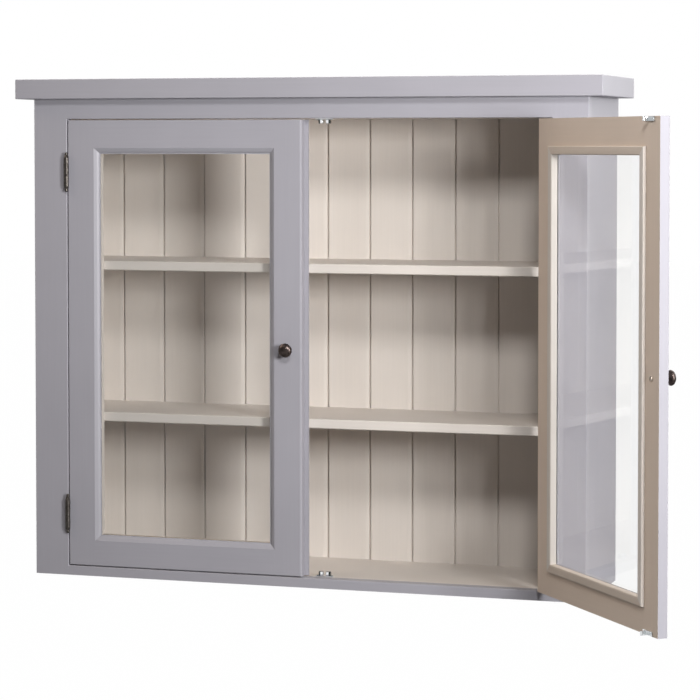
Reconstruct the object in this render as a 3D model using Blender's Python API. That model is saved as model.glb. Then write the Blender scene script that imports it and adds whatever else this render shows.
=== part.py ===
"""Wall cabinet with a face frame and two glazed doors, modelled piece by piece in metres.

Cabinet coordinates: x from the middle, y back from the face frame's front, z up from the underside.
The world origin is the middle of the hanging rail's wall face, with +Y into the wall.
"""

import math

import bmesh
import bpy
from mathutils import Matrix, Vector

# Fits
SEAT_GAP = 0.0003
CUT_PAST = 0.002

# Carcass
CARCASS_WIDTH = 1.100
CARCASS_DEPTH = 0.262
CARCASS_HEIGHT = 0.926
SIDE_THICKNESS = 0.020
INNER_TOP_THICKNESS = 0.018
BOTTOM_THICKNESS = 0.0185
HOUSING_DEPTH = 0.006
TOP_BOARD_THICKNESS = 0.038
TOP_SIDE_OVERHANG = 0.030
TOP_FRONT_OVERHANG = 0.022
TOP_BOARD_EASING = 0.0015

# Face frame
FRAME_THICKNESS = 0.022
FRAME_STILE_WIDTH = 0.069
FRAME_TOP_RAIL_HEIGHT = 0.0385
FRAME_BOTTOM_RAIL_HEIGHT = 0.0185
FRAME_EASING = 0.0012
FRAME_TENON_LENGTH = 0.030
FRAME_TENON_THICKNESS = 0.008
FRAME_TENON_SHOULDER = 0.004

# Shelves, measured to their upper faces
SHELF_THICKNESS = 0.018
LOWER_SHELF_TOP = 0.3185
UPPER_SHELF_TOP = 0.613
SHELF_SETBACK = 0.0252
SHELF_EASING = 0.0015

# Back boards and the two rails behind them
BOARD_THICKNESS = 0.008
BOARD_PITCH = 0.087
FIRST_BOARD_SHOW = 0.0667
LEAST_BOARD_SHOW = 0.020
BOARD_CHAMFER = 0.0035
JOINT_LINE_WIDTH = 0.0012
JOINT_LINE_DEPTH = 0.002
BACK_REBATE = 0.010
WALL_RAIL_THICKNESS = 0.010
HANGING_RAIL_HEIGHT = 0.070
HANGING_RAIL_DROP = 0.026
WALL_BATTEN_HEIGHT = 0.050
WALL_BATTEN_RISE = 0.030

# Doors
DOOR_GAP = 0.002
DOOR_THICKNESS = 0.019
HINGE_STILE_WIDTH = 0.054
LOCK_STILE_WIDTH = 0.055
DOOR_TOP_RAIL_WIDTH = 0.054
DOOR_BOTTOM_RAIL_WIDTH = 0.049
DOOR_EASING = 0.0012
DOOR_TENON_LENGTH = 0.030
DOOR_TENON_THICKNESS = 0.0065
DOOR_TENON_SHOULDER = 0.010
MEETING_EDGE_RADIUS = 0.004
MEETING_STRIP_THICKNESS = 0.005
MEETING_STRIP_LAP = 0.013
MEETING_STRIP_OVERHANG = 0.007
LEFT_DOOR_OPEN = 0.0
RIGHT_DOOR_OPEN = 128.0

# Glazing
MOULDING_WIDTH = 0.0112
MOULDING_RECESS = 0.0004
MOULDING_BEVEL_WIDTH = 0.0052
MOULDING_FIRST_SLOPE = 25.0
MOULDING_LAST_SLOPE = 65.0
MOULDING_FILLET_WIDTH = 0.0018
MOULDING_FILLET_EDGE = 0.0005
GLASS_DEPTH = 0.0078
GLASS_THICKNESS = 0.004
GLASS_EDGE_GAP = 0.0008
BEAD_WIDTH = 0.0112
BEAD_LAP = 0.004
BEAD_PROUD = 0.0055
BEAD_INNER_ROUND = 0.005
BEAD_OUTER_ROUND = 0.0035

# Hinges
BARREL_RADIUS = 0.0047
BARREL_STANDOFF = 0.0004
BORE_RADIUS = 0.0023
PIN_RADIUS = 0.0020
KNUCKLE_COUNT = 5
KNUCKLE_CLEARANCE = 0.0004
HINGE_HEIGHT = 0.056
HINGE_INSET = 0.1005
LEAF_THICKNESS = 0.0016
LEAF_SPACE = 0.0004
LEAF_DEPTH = 0.015
TIP_CONE = 0.004
TIP_LENGTH = 0.010
TIP_RADIUS = 0.0026

# Double ball catches of the right door, measured from the face they are screwed to
CATCH_OFFSET = 0.036
CATCH_LENGTH = 0.034
CATCH_WIDTH = 0.010
CATCH_PLATE = 0.0014
CATCH_STANDOFF = 0.0025
CATCH_AXIS_HEIGHT = 0.006
CATCH_BLOCK_WIDTH = 0.008
CATCH_BLOCK_INNER = 0.0032
CATCH_BLOCK_OUTER = 0.0115
CATCH_BLOCK_SEAT = 0.0004
CATCH_BORE_DEPTH = 0.007
BALL_RADIUS = 0.0024
BALL_CLEARANCE = 0.0003
BALL_TIP_GAP = 0.0030

# Strikes
STRIKE_LENGTH = 0.034
STRIKE_PLATE = 0.0014
STRIKE_HEIGHT = 0.0076
TONGUE_NECK = 0.0024
TONGUE_BULB_RADIUS = 0.0022
TONGUE_BULB_BEHIND = 0.0036

# Knobs
KNOB_DROP = 0.0025
KNOB_LENGTH = 0.024
KNOB_RADIUS = 0.0137
KNOB_RIM = 0.0165
KNOB_NECK_RADIUS = 0.0055
KNOB_NECK_HEIGHT = 0.0085
KNOB_BASE_RADIUS = 0.0080
KNOB_BASE_HEIGHT = 0.0020
KNOB_BORE_DEPTH = 0.012
KNOB_SCREW_RADIUS = 0.0020
KNOB_SCREW_HEAD_RADIUS = 0.0050
KNOB_SCREW_HEAD_HEIGHT = 0.0024

# Facets of round pieces
BARREL_SEGMENTS = 24
KNOB_SEGMENTS = 40
ARC_STEPS = 6
DOME_STEPS = 8
SMOOTH_ANGLE = math.radians(35)

# Places worked out from the sizes above
half_width = CARCASS_WIDTH / 2
inner_half = half_width - SIDE_THICKNESS
carcass_front = FRAME_THICKNESS + SEAT_GAP
rail_front = CARCASS_DEPTH - WALL_RAIL_THICKNESS
board_back = rail_front - SEAT_GAP
board_front = board_back - BOARD_THICKNESS
shelf_back = board_front - SEAT_GAP
opening_half = half_width - FRAME_STILE_WIDTH
opening_bottom = FRAME_BOTTOM_RAIL_HEIGHT
opening_top = CARCASS_HEIGHT - FRAME_TOP_RAIL_HEIGHT
hanging_rail_top = CARCASS_HEIGHT - HANGING_RAIL_DROP
hanging_rail_middle = hanging_rail_top - HANGING_RAIL_HEIGHT / 2

hinge_x = opening_half - DOOR_GAP / 2
hinge_proud = BARREL_RADIUS + BARREL_STANDOFF
door_width = opening_half - DOOR_GAP * 3 / 2
door_near = DOOR_GAP / 2
door_far = door_near + door_width
door_bottom = opening_bottom + DOOR_GAP
door_top = opening_top - DOOR_GAP
hinge_heights = {"lower": door_bottom + HINGE_INSET, "upper": door_top - HINGE_INSET}
glass_back = GLASS_DEPTH + GLASS_THICKNESS
glazing_near = door_near + HINGE_STILE_WIDTH
glazing_far = door_far - LOCK_STILE_WIDTH
glazing_bottom = door_bottom + DOOR_BOTTOM_RAIL_WIDTH
glazing_top = door_top - DOOR_TOP_RAIL_WIDTH

catch_y = DOOR_THICKNESS + SEAT_GAP + STRIKE_PLATE + CATCH_STANDOFF + CATCH_WIDTH / 2
strike_u = hinge_x - CATCH_OFFSET
ball_offset = BALL_TIP_GAP / 2 + BALL_RADIUS

GREY_PAINT = ((0.365, 0.361, 0.392), 0.48, 0.0)
CREAM_PAINT = ((0.565, 0.510, 0.462), 0.50, 0.0)
BRONZE = ((0.052, 0.040, 0.033), 0.38, 0.9)
CHROME = ((0.72, 0.73, 0.75), 0.14, 1.0)
STEEL = ((0.50, 0.49, 0.48), 0.32, 1.0)
GLASS = ((0.86, 0.90, 0.90), 0.03, 0.0)


# Scene and piece helpers

def clear_scene():
    for old in list(bpy.data.objects):
        bpy.data.objects.remove(old, do_unlink=True)


def add_empty(name, parent, place, turn=0.0):
    empty = bpy.data.objects.new(name, None)
    empty.parent = parent
    empty.location = place
    empty.rotation_euler = (0.0, 0.0, math.radians(turn))
    bpy.context.scene.collection.objects.link(empty)
    return empty


def link_mesh(name, bm, parent, smooth):
    bmesh.ops.recalc_face_normals(bm, faces=bm.faces)
    mesh = bpy.data.meshes.new(name)
    bm.to_mesh(mesh)
    bm.free()
    if smooth:
        mesh.shade_smooth()
        mesh.set_sharp_from_angle(angle=SMOOTH_ANGLE)
    piece = bpy.data.objects.new(name, mesh)
    piece.parent = parent
    bpy.context.scene.collection.objects.link(piece)
    return piece


def add_piece(name, bm, parent, finish, smooth=False):
    """One sub-part with a material of its own."""
    piece = link_mesh(name, bm, parent, smooth)
    colour, roughness, metallic = finish
    material = bpy.data.materials.new(name + "_finish")
    material.use_nodes = True
    shader = material.node_tree.nodes["Principled BSDF"]
    shader.inputs["Base Color"].default_value = (*colour, 1.0)
    shader.inputs["Roughness"].default_value = roughness
    shader.inputs["Metallic"].default_value = metallic
    if finish is GLASS:
        shader.inputs["Transmission Weight"].default_value = 1.0
    piece.data.materials.append(material)
    return piece


def add_tool(name, bm, parent):
    """A shape used only to cut or join."""
    tool = link_mesh(name, bm, parent, False)
    tool.hide_render = True
    tool.display_type = 'WIRE'
    return tool


def combine(piece, tool, operation='DIFFERENCE'):
    step = piece.modifiers.new(tool.name, 'BOOLEAN')
    step.operation = operation
    step.solver = 'EXACT'
    step.object = tool


# Shape helpers

def add_box(bm, low, high):
    """A box between two corners, given in any order."""
    spans = [sorted(pair) for pair in zip(low, high)]
    verts = [bm.verts.new((x, y, z)) for x in spans[0] for y in spans[1] for z in spans[2]]
    for quad in ((0, 1, 3, 2), (4, 6, 7, 5), (0, 4, 5, 1), (2, 3, 7, 6), (0, 2, 6, 4), (1, 5, 7, 3)):
        bm.faces.new([verts[index] for index in quad])


def box_mesh(low, high):
    bm = bmesh.new()
    add_box(bm, low, high)
    return bm


def join_rings(bm, near, far):
    count = len(near)
    for index in range(count):
        after = (index + 1) % count
        bm.faces.new((near[index], near[after], far[after], far[index]))


def add_loft(bm, rings):
    """Rings of points with equal counts, joined in turn and capped at both ends."""
    loops = [[bm.verts.new(point) for point in ring] for ring in rings]
    for near, far in zip(loops, loops[1:]):
        join_rings(bm, near, far)
    bm.faces.new(loops[0])
    bm.faces.new(loops[-1])


def add_lathe(bm, profile, segments, matrix):
    """Turn (radius, height) points about local Z; the profile starts and ends on the axis."""
    rings = []
    for radius, height in profile:
        if radius == 0.0:
            rings.append([bm.verts.new(matrix @ Vector((0.0, 0.0, height)))])
            continue
        ring = []
        for index in range(segments):
            angle = 2 * math.pi * index / segments
            point = Vector((radius * math.cos(angle), radius * math.sin(angle), height))
            ring.append(bm.verts.new(matrix @ point))
        rings.append(ring)
    for near, far in zip(rings, rings[1:]):
        if len(near) > 1 and len(far) > 1:
            join_rings(bm, near, far)
            continue
        tip = near[0] if len(near) == 1 else far[0]
        ring = far if len(near) == 1 else near
        for index in range(segments):
            bm.faces.new((tip, ring[index], ring[(index + 1) % segments]))


def add_tube(bm, inner, outer, bottom, top, centre):
    corners = ((outer, bottom), (outer, top), (inner, top), (inner, bottom))
    loops = []
    for radius, height in corners:
        ring = []
        for index in range(BARREL_SEGMENTS):
            angle = 2 * math.pi * index / BARREL_SEGMENTS
            x = centre[0] + radius * math.cos(angle)
            y = centre[1] + radius * math.sin(angle)
            ring.append(bm.verts.new((x, y, height)))
        loops.append(ring)
    for near, far in zip(loops, loops[1:] + loops[:1]):
        join_rings(bm, near, far)


def facing(point, direction):
    """A matrix that puts local Z along a direction, at a point."""
    turn = Vector((0.0, 0.0, 1.0)).rotation_difference(Vector(direction))
    return Matrix.Translation(point) @ turn.to_matrix().to_4x4()


def arc(centre, radius, start, end, steps):
    """Points on a circular arc, with angles in degrees."""
    points = []
    for step in range(steps + 1):
        angle = math.radians(start + (end - start) * step / steps)
        points.append((centre[0] + radius * math.cos(angle), centre[1] + radius * math.sin(angle)))
    return points


def add_tenoned_bar(bm, ends, section, tenon, place):
    """A rail between two ends along its length, with a tenon past each shoulder."""
    length, thickness, shoulder = tenon
    near, far, bottom, top = section
    middle = (near + far) / 2
    full = ((near, bottom), (far, bottom), (far, top), (near, top))
    low = bottom + shoulder
    high = top - shoulder
    front = middle - thickness / 2
    back = middle + thickness / 2
    slim = ((front, low), (back, low), (back, high), (front, high))
    start, end = ends
    sections = ((start - length, slim), (start, slim), (start, full))
    sections += ((end, full), (end, slim), (end + length, slim))
    add_loft(bm, [[place(along, depth, z) for depth, z in outline] for along, outline in sections])


def add_mortise(bm, edge, inward, section, tenon, place):
    """The pocket for a tenon that enters a stile at its edge."""
    length, thickness, shoulder = tenon
    near, far, bottom, top = section
    middle = (near + far) / 2
    half = thickness / 2 + SEAT_GAP
    low = place(edge - inward * CUT_PAST, middle - half, bottom + shoulder - SEAT_GAP)
    high = place(edge + inward * (length + SEAT_GAP), middle + half, top - shoulder + SEAT_GAP)
    add_box(bm, low, high)


def mitred_strips(opening, profile):
    """Both end sections of four mitred strips; profile points are (inset from the opening, depth)."""
    left, right, bottom, top = opening
    shift = SEAT_GAP / math.sqrt(2)
    strips = {}
    for word, level, sign in (("bottom", bottom, 1), ("top", top, -1)):
        start = [(left + inset + shift, depth, level + sign * inset) for inset, depth in profile]
        end = [(right - inset - shift, depth, level + sign * inset) for inset, depth in profile]
        strips[word] = (start, end)
    for word, edge, sign in (("hinge_side", left, 1), ("lock_side", right, -1)):
        start = [(edge + sign * inset, depth, bottom + inset + shift) for inset, depth in profile]
        end = [(edge + sign * inset, depth, top - inset - shift) for inset, depth in profile]
        strips[word] = (start, end)
    return strips


def add_mitred_frame(bm, opening, profile, place):
    """One frame of four strips glued at their mitres."""
    left, right, bottom, top = opening
    corners = ((left, bottom, 1, 1), (right, bottom, -1, 1), (right, top, -1, -1), (left, top, 1, -1))
    loops = []
    for u, z, across, up in corners:
        section = [place(u + across * inset, depth, z + up * inset) for inset, depth in profile]
        loops.append([bm.verts.new(point) for point in section])
    for near, far in zip(loops, loops[1:] + loops[:1]):
        join_rings(bm, near, far)


def add_easing_tool(name, edges, easing, toward, place, parent):
    """Takes the front arris off round a rectangle; toward is 1 where the wood lies inside it, or -1 outside."""
    past = CUT_PAST
    corner = (-toward * past, -past)
    profile = [corner, (toward * (easing + past), -past), (-toward * past, easing + past)]
    bm = bmesh.new()
    add_mitred_frame(bm, edges, profile, place)
    return add_tool(name, bm, parent)


# Carcass

def cabinet_point(x, y, z):
    return (x, y, z)


def eased_board(half_length, front, back, bottom, top, easing):
    """A board along x whose two front edges are taken off."""
    outline = [(front, bottom + easing), (front + easing, bottom), (back, bottom)]
    outline += [(back, top), (front + easing, top), (front, top - easing)]
    bm = bmesh.new()
    add_loft(bm, [[(x, y, z) for y, z in outline] for x in (-half_length, half_length)])
    return bm


def make_top_board(cabinet):
    low = (-half_width - TOP_SIDE_OVERHANG, -TOP_FRONT_OVERHANG, CARCASS_HEIGHT + SEAT_GAP)
    high = (half_width + TOP_SIDE_OVERHANG, CARCASS_DEPTH, low[2] + TOP_BOARD_THICKNESS)
    board = add_piece("top_board", box_mesh(low, high), cabinet, GREY_PAINT)
    easing = board.modifiers.new("eased_edges", 'BEVEL')
    easing.width = TOP_BOARD_EASING
    easing.segments = 2


def make_level_boards(cabinet):
    """The inner top, the floor and the shelves, all housed in the sides."""
    reach = inner_half + HOUSING_DEPTH
    spans = {
        "carcass_top": (carcass_front, opening_top, opening_top + INNER_TOP_THICKNESS),
        "bottom_board": (carcass_front, opening_bottom - BOTTOM_THICKNESS, opening_bottom),
        "lower_shelf": (SHELF_SETBACK, LOWER_SHELF_TOP - SHELF_THICKNESS, LOWER_SHELF_TOP),
        "upper_shelf": (SHELF_SETBACK, UPPER_SHELF_TOP - SHELF_THICKNESS, UPPER_SHELF_TOP),
    }
    for name, (front, bottom, top) in spans.items():
        bm = eased_board(reach, front, shelf_back, bottom, top, SHELF_EASING)
        add_piece(name, bm, cabinet, CREAM_PAINT)
    return spans


def make_side_panels(cabinet, spans):
    for side, word in ((-1, "left"), (1, "right")):
        low = (side * inner_half, carcass_front, 0.0)
        high = (side * half_width, CARCASS_DEPTH, CARCASS_HEIGHT)
        panel = add_piece(word + "_side_panel", box_mesh(low, high), cabinet, GREY_PAINT)
        housings = bmesh.new()
        mouth = side * (inner_half - CUT_PAST)
        bed = side * (inner_half + HOUSING_DEPTH + SEAT_GAP)
        for front, bottom, top in spans.values():
            start = front - CUT_PAST if front == carcass_front else front - SEAT_GAP
            corner = (mouth, start, bottom - SEAT_GAP)
            add_box(housings, corner, (bed, board_front + CUT_PAST, top + SEAT_GAP))
        combine(panel, add_tool(word + "_side_housings", housings, cabinet))
        rebate_bed = side * (inner_half + BACK_REBATE + SEAT_GAP)
        low = (mouth, board_front - SEAT_GAP, -CUT_PAST)
        high = (rebate_bed, CARCASS_DEPTH + CUT_PAST, CARCASS_HEIGHT + CUT_PAST)
        combine(panel, add_tool(word + "_side_rebate", box_mesh(low, high), cabinet))


def make_face_frame(cabinet):
    tenon = (FRAME_TENON_LENGTH, FRAME_TENON_THICKNESS, FRAME_TENON_SHOULDER)
    rail_end = opening_half - SEAT_GAP
    opening = (-opening_half, opening_half, opening_bottom, opening_top)
    easing = add_easing_tool("frame_opening_easing", opening, FRAME_EASING, -1, cabinet_point, cabinet)
    sections = {
        "top_frame_rail": (0.0, FRAME_THICKNESS, opening_top, CARCASS_HEIGHT),
        "bottom_frame_rail": (0.0, FRAME_THICKNESS, 0.0, opening_bottom),
    }
    for name, section in sections.items():
        bm = bmesh.new()
        add_tenoned_bar(bm, (-rail_end, rail_end), section, tenon, cabinet_point)
        combine(add_piece(name, bm, cabinet, GREY_PAINT), easing)
    outline = [(opening_half, FRAME_THICKNESS), (opening_half, 0.0), (half_width - FRAME_EASING, 0.0)]
    outline += [(half_width, FRAME_EASING), (half_width, FRAME_THICKNESS)]
    stiles = {}
    for side, word in ((-1, "left"), (1, "right")):
        bm = bmesh.new()
        add_loft(bm, [[(side * x, y, z) for x, y in outline] for z in (0.0, CARCASS_HEIGHT)])
        stile = add_piece(word + "_frame_stile", bm, cabinet, GREY_PAINT)
        combine(stile, easing)
        mortises = bmesh.new()
        for section in sections.values():
            add_mortise(mortises, side * opening_half, side, section, tenon, cabinet_point)
        combine(stile, add_tool(word + "_frame_mortises", mortises, cabinet))
        stiles[side] = stile
    return stiles


def make_back_boards(cabinet):
    """Tongue and groove boards glued up as one panel, with a V and an open line at each joint."""
    reach = inner_half + BACK_REBATE
    line = JOINT_LINE_WIDTH / 2
    bed = board_front + BOARD_CHAMFER - line
    outline = [(-reach, board_back), (-reach, board_front)]
    joint = FIRST_BOARD_SHOW - inner_half
    while joint < inner_half - LEAST_BOARD_SHOW:
        outline += [(joint - BOARD_CHAMFER, board_front), (joint - line, bed)]
        outline += [(joint - line, bed + JOINT_LINE_DEPTH), (joint + line, bed + JOINT_LINE_DEPTH)]
        outline += [(joint + line, bed), (joint + BOARD_CHAMFER, board_front)]
        joint += BOARD_PITCH
    outline += [(reach, board_front), (reach, board_back)]
    bm = bmesh.new()
    add_loft(bm, [[(x, y, z) for x, y in outline] for z in (0.0, CARCASS_HEIGHT)])
    add_piece("back_boards", bm, cabinet, CREAM_PAINT)


def make_wall_rails(cabinet):
    reach = inner_half + BACK_REBATE
    spans = {
        "hanging_rail": (hanging_rail_top - HANGING_RAIL_HEIGHT, hanging_rail_top),
        "wall_batten": (WALL_BATTEN_RISE, WALL_BATTEN_RISE + WALL_BATTEN_HEIGHT),
    }
    for name, (bottom, top) in spans.items():
        bm = box_mesh((-reach, rail_front, bottom), (reach, CARCASS_DEPTH, top))
        add_piece(name, bm, cabinet, CREAM_PAINT)


# Hinges

def knuckle_spans(middle, parity):
    """Heights of every second knuckle of a hinge, with a running gap between neighbours."""
    step = HINGE_HEIGHT / KNUCKLE_COUNT
    bottom = middle - HINGE_HEIGHT / 2
    spans = []
    for index in range(parity, KNUCKLE_COUNT, 2):
        low = bottom + step * index + SEAT_GAP / 2
        spans.append((low, low + step - SEAT_GAP))
    return spans


def add_leaf_plate(bm, axis, toward, middle, parity):
    """A leaf's plate beside the hinge's axis, with a tab out to each of its knuckles."""
    root = axis[1] + BARREL_RADIUS + KNUCKLE_CLEARANCE
    tab = axis[1] + (BORE_RADIUS + BARREL_RADIUS) / 2
    end = axis[1] + hinge_proud + LEAF_DEPTH
    bottom = middle - HINGE_HEIGHT / 2
    top = middle + HINGE_HEIGHT / 2
    outline = [(end, bottom), (end, top), (root, top)]
    for low, high in reversed(knuckle_spans(middle, parity)):
        outline += [(root, high - SEAT_GAP), (tab, high - SEAT_GAP)]
        outline += [(tab, low + SEAT_GAP), (root, low + SEAT_GAP)]
    outline += [(root, bottom)]
    near = axis[0] + toward * LEAF_SPACE / 2
    far = near + toward * LEAF_THICKNESS
    add_loft(bm, [[(x, y, z) for y, z in outline] for x in (near, far)])


def make_leaf(name, parent, axis, toward, middle, parity):
    """One leaf, its plate and knuckles joined."""
    plate = bmesh.new()
    add_leaf_plate(plate, axis, toward, middle, parity)
    barrels = bmesh.new()
    for low, high in knuckle_spans(middle, parity):
        add_tube(barrels, BORE_RADIUS, BARREL_RADIUS, low, high, axis)
    leaf = add_piece(name, plate, parent, BRONZE, smooth=True)
    combine(leaf, add_tool(name + "_barrels", barrels, parent), 'UNION')


def cut_leaf_recesses(stile, parent, axis, toward):
    """Lets both of a stile's leaves into its edge."""
    bm = bmesh.new()
    bed = axis[0] + toward * (LEAF_SPACE / 2 + LEAF_THICKNESS + SEAT_GAP)
    front = axis[1] + hinge_proud - CUT_PAST
    back = axis[1] + hinge_proud + LEAF_DEPTH + SEAT_GAP
    half = HINGE_HEIGHT / 2 + SEAT_GAP
    for middle in hinge_heights.values():
        add_box(bm, (axis[0], front, middle - half), (bed, back, middle + half))
    combine(stile, add_tool(stile.name + "_recesses", bm, parent))


def make_pin(name, parent, axis, middle):
    half = HINGE_HEIGHT / 2 + SEAT_GAP
    upper = [(PIN_RADIUS, half - SEAT_GAP), (BARREL_RADIUS, half), (TIP_RADIUS, half + TIP_CONE)]
    upper += [(TIP_RADIUS, half + TIP_LENGTH - TIP_RADIUS / 2)]
    upper += [(TIP_RADIUS / 2, half + TIP_LENGTH), (0.0, half + TIP_LENGTH)]
    lower = [(radius, -height) for radius, height in reversed(upper)]
    bm = bmesh.new()
    add_lathe(bm, lower + upper, BARREL_SEGMENTS, Matrix.Translation((*axis, middle)))
    add_piece(name, bm, parent, BRONZE, smooth=True)


def make_hinges(cabinet, pivot, side, word, frame_stile, door_stile):
    """A door's two hinges: the frame's leaves carry the outer knuckles and the pins."""
    axis = (side * hinge_x, -hinge_proud)
    cut_leaf_recesses(frame_stile, cabinet, axis, side)
    cut_leaf_recesses(door_stile, pivot, (0.0, 0.0), -side)
    for level, middle in hinge_heights.items():
        prefix = word + "_" + level
        make_leaf(prefix + "_frame_leaf", cabinet, axis, side, middle, 0)
        make_leaf(prefix + "_door_leaf", pivot, (0.0, 0.0), -side, middle, 1)
        make_pin(prefix + "_hinge_pin", cabinet, axis, middle)


# Catches

def catch_blocks():
    """The two housings on the plate, round-topped, with their mouths facing each other."""
    half = CATCH_BLOCK_WIDTH / 2
    base = CATCH_PLATE - CATCH_BLOCK_SEAT
    outline = [(-half, base), (half, base)]
    outline += arc((0.0, CATCH_AXIS_HEIGHT), half, 0, 180, 2 * ARC_STEPS)
    bm = bmesh.new()
    for sign in (-1, 1):
        ends = (sign * CATCH_BLOCK_INNER, sign * CATCH_BLOCK_OUTER)
        add_loft(bm, [[(x, y, z) for y, z in outline] for x in ends])
    return bm


def catch_bores():
    reach = CATCH_BLOCK_INNER + CATCH_BORE_DEPTH
    radius = BALL_RADIUS + BALL_CLEARANCE
    profile = [(0.0, reach), (radius, reach), (radius, -reach), (0.0, -reach)]
    bm = bmesh.new()
    add_lathe(bm, profile, BARREL_SEGMENTS, facing((0.0, 0.0, CATCH_AXIS_HEIGHT), (1.0, 0.0, 0.0)))
    return bm


def make_catches(cabinet):
    """The floor's catch stands up from it, and the inner top's hangs down."""
    seats = (("lower_catch", opening_bottom + SEAT_GAP, 1), ("upper_catch", opening_top - SEAT_GAP, -1))
    for name, seat, up in seats:
        turn = Matrix.Translation((CATCH_OFFSET, catch_y, seat))
        if up < 0:
            turn = turn @ Matrix.Rotation(math.pi, 4, 'X')
        low = (-CATCH_LENGTH / 2, -CATCH_WIDTH / 2, 0.0)
        plate = box_mesh(low, (CATCH_LENGTH / 2, CATCH_WIDTH / 2, CATCH_PLATE))
        blocks = catch_blocks()
        bores = catch_bores()
        for bm in (plate, blocks, bores):
            bmesh.ops.transform(bm, matrix=turn, verts=bm.verts)
        housing = add_piece(name, plate, cabinet, CHROME, smooth=True)
        combine(housing, add_tool(name + "_blocks", blocks, cabinet), 'UNION')
        combine(housing, add_tool(name + "_bores", bores, cabinet))
        for step, word in ((-1, "_left_ball"), (1, "_right_ball")):
            bm = bmesh.new()
            bmesh.ops.create_icosphere(bm, subdivisions=2, radius=BALL_RADIUS)
            ball = add_piece(name + word, bm, cabinet, CHROME, smooth=True)
            height = seat + up * CATCH_AXIS_HEIGHT
            ball.location = (CATCH_OFFSET + step * ball_offset, catch_y, height)


# Doors

def make_door_frame(prefix, pivot, place):
    tenon = (DOOR_TENON_LENGTH, DOOR_TENON_THICKNESS, DOOR_TENON_SHOULDER)
    edges = (door_near, door_far, door_bottom, door_top)
    easing = add_easing_tool(prefix + "_easing", edges, DOOR_EASING, 1, place, pivot)
    sections = {
        "_top_rail": (0.0, DOOR_THICKNESS, glazing_top, door_top),
        "_bottom_rail": (0.0, DOOR_THICKNESS, door_bottom, glazing_bottom),
    }
    for word, section in sections.items():
        bm = bmesh.new()
        add_tenoned_bar(bm, (glazing_near + SEAT_GAP, glazing_far - SEAT_GAP), section, tenon, place)
        combine(add_piece(prefix + word, bm, pivot, GREY_PAINT), easing)

    low = place(door_near, 0.0, door_bottom)
    hinge_stile = box_mesh(low, place(glazing_near, DOOR_THICKNESS, door_top))
    outline = [(glazing_far, DOOR_THICKNESS), (glazing_far, 0.0)]
    corner = (door_far - MEETING_EDGE_RADIUS, MEETING_EDGE_RADIUS)
    outline += arc(corner, MEETING_EDGE_RADIUS, -90, 0, ARC_STEPS)
    outline += [(door_far, DOOR_THICKNESS)]
    lock_stile = bmesh.new()
    add_loft(lock_stile, [[place(u, d, z) for u, d in outline] for z in (door_bottom, door_top)])

    stiles = {}
    shapes = (("_hinge_stile", hinge_stile, glazing_near, -1), ("_lock_stile", lock_stile, glazing_far, 1))
    for word, bm, edge, inward in shapes:
        stile = add_piece(prefix + word, bm, pivot, GREY_PAINT)
        combine(stile, easing)
        mortises = bmesh.new()
        for section in sections.values():
            add_mortise(mortises, edge, inward, section, tenon, place)
        combine(stile, add_tool(prefix + word + "_mortises", mortises, pivot))
        stiles[word] = stile
    return stiles


def moulding_profile():
    """A shallow bevel from the frame's face, a round that steepens and a flat fillet against the glass."""
    back = GLASS_DEPTH - SEAT_GAP
    fillet = back - MOULDING_FILLET_EDGE
    fall = MOULDING_BEVEL_WIDTH * math.tan(math.radians(MOULDING_FIRST_SLOPE))
    near = (SEAT_GAP + MOULDING_BEVEL_WIDTH, MOULDING_RECESS + fall)
    far = (MOULDING_WIDTH - MOULDING_FILLET_WIDTH, fillet)
    profile = [(SEAT_GAP, back), (SEAT_GAP, MOULDING_RECESS)]
    sweep = arc((0.0, 0.0), 1.0, 90 - MOULDING_FIRST_SLOPE, 90 - MOULDING_LAST_SLOPE, 2 * ARC_STEPS)
    start, end = sweep[0], sweep[-1]
    for across, rise in sweep:
        share = (across - start[0]) / (end[0] - start[0])
        drop = (start[1] - rise) / (start[1] - end[1])
        profile.append((near[0] + (far[0] - near[0]) * share, near[1] + (far[1] - near[1]) * drop))
    profile += [(MOULDING_WIDTH, fillet), (MOULDING_WIDTH, back)]
    return profile


def bead_profile():
    """A bead that fills the glazing rebate and laps over the back of the frame."""
    front = glass_back + SEAT_GAP
    seat = DOOR_THICKNESS + SEAT_GAP
    back = DOOR_THICKNESS + BEAD_PROUD
    inner = (BEAD_WIDTH - BEAD_INNER_ROUND, back - BEAD_INNER_ROUND)
    outer = (BEAD_OUTER_ROUND - BEAD_LAP, back - BEAD_OUTER_ROUND)
    profile = [(SEAT_GAP, seat), (SEAT_GAP, front), (BEAD_WIDTH, front)]
    profile += arc(inner, BEAD_INNER_ROUND, 0, 90, ARC_STEPS)
    profile += arc(outer, BEAD_OUTER_ROUND, 90, 180, ARC_STEPS)
    profile += [(-BEAD_LAP, seat)]
    return profile


def make_glazing(prefix, pivot, place):
    low = place(glazing_near + GLASS_EDGE_GAP, GLASS_DEPTH, glazing_bottom + GLASS_EDGE_GAP)
    high = place(glazing_far - GLASS_EDGE_GAP, glass_back, glazing_top - GLASS_EDGE_GAP)
    add_piece(prefix + "_glass_pane", box_mesh(low, high), pivot, GLASS)
    opening = (glazing_near, glazing_far, glazing_bottom, glazing_top)
    moulding = bmesh.new()
    add_mitred_frame(moulding, opening, moulding_profile(), place)
    add_piece(prefix + "_front_moulding", moulding, pivot, GREY_PAINT)
    for word, sections in mitred_strips(opening, bead_profile()).items():
        bead = bmesh.new()
        add_loft(bead, [[place(*point) for point in section] for section in sections])
        add_piece(prefix + "_" + word + "_bead", bead, pivot, CREAM_PAINT)


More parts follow.
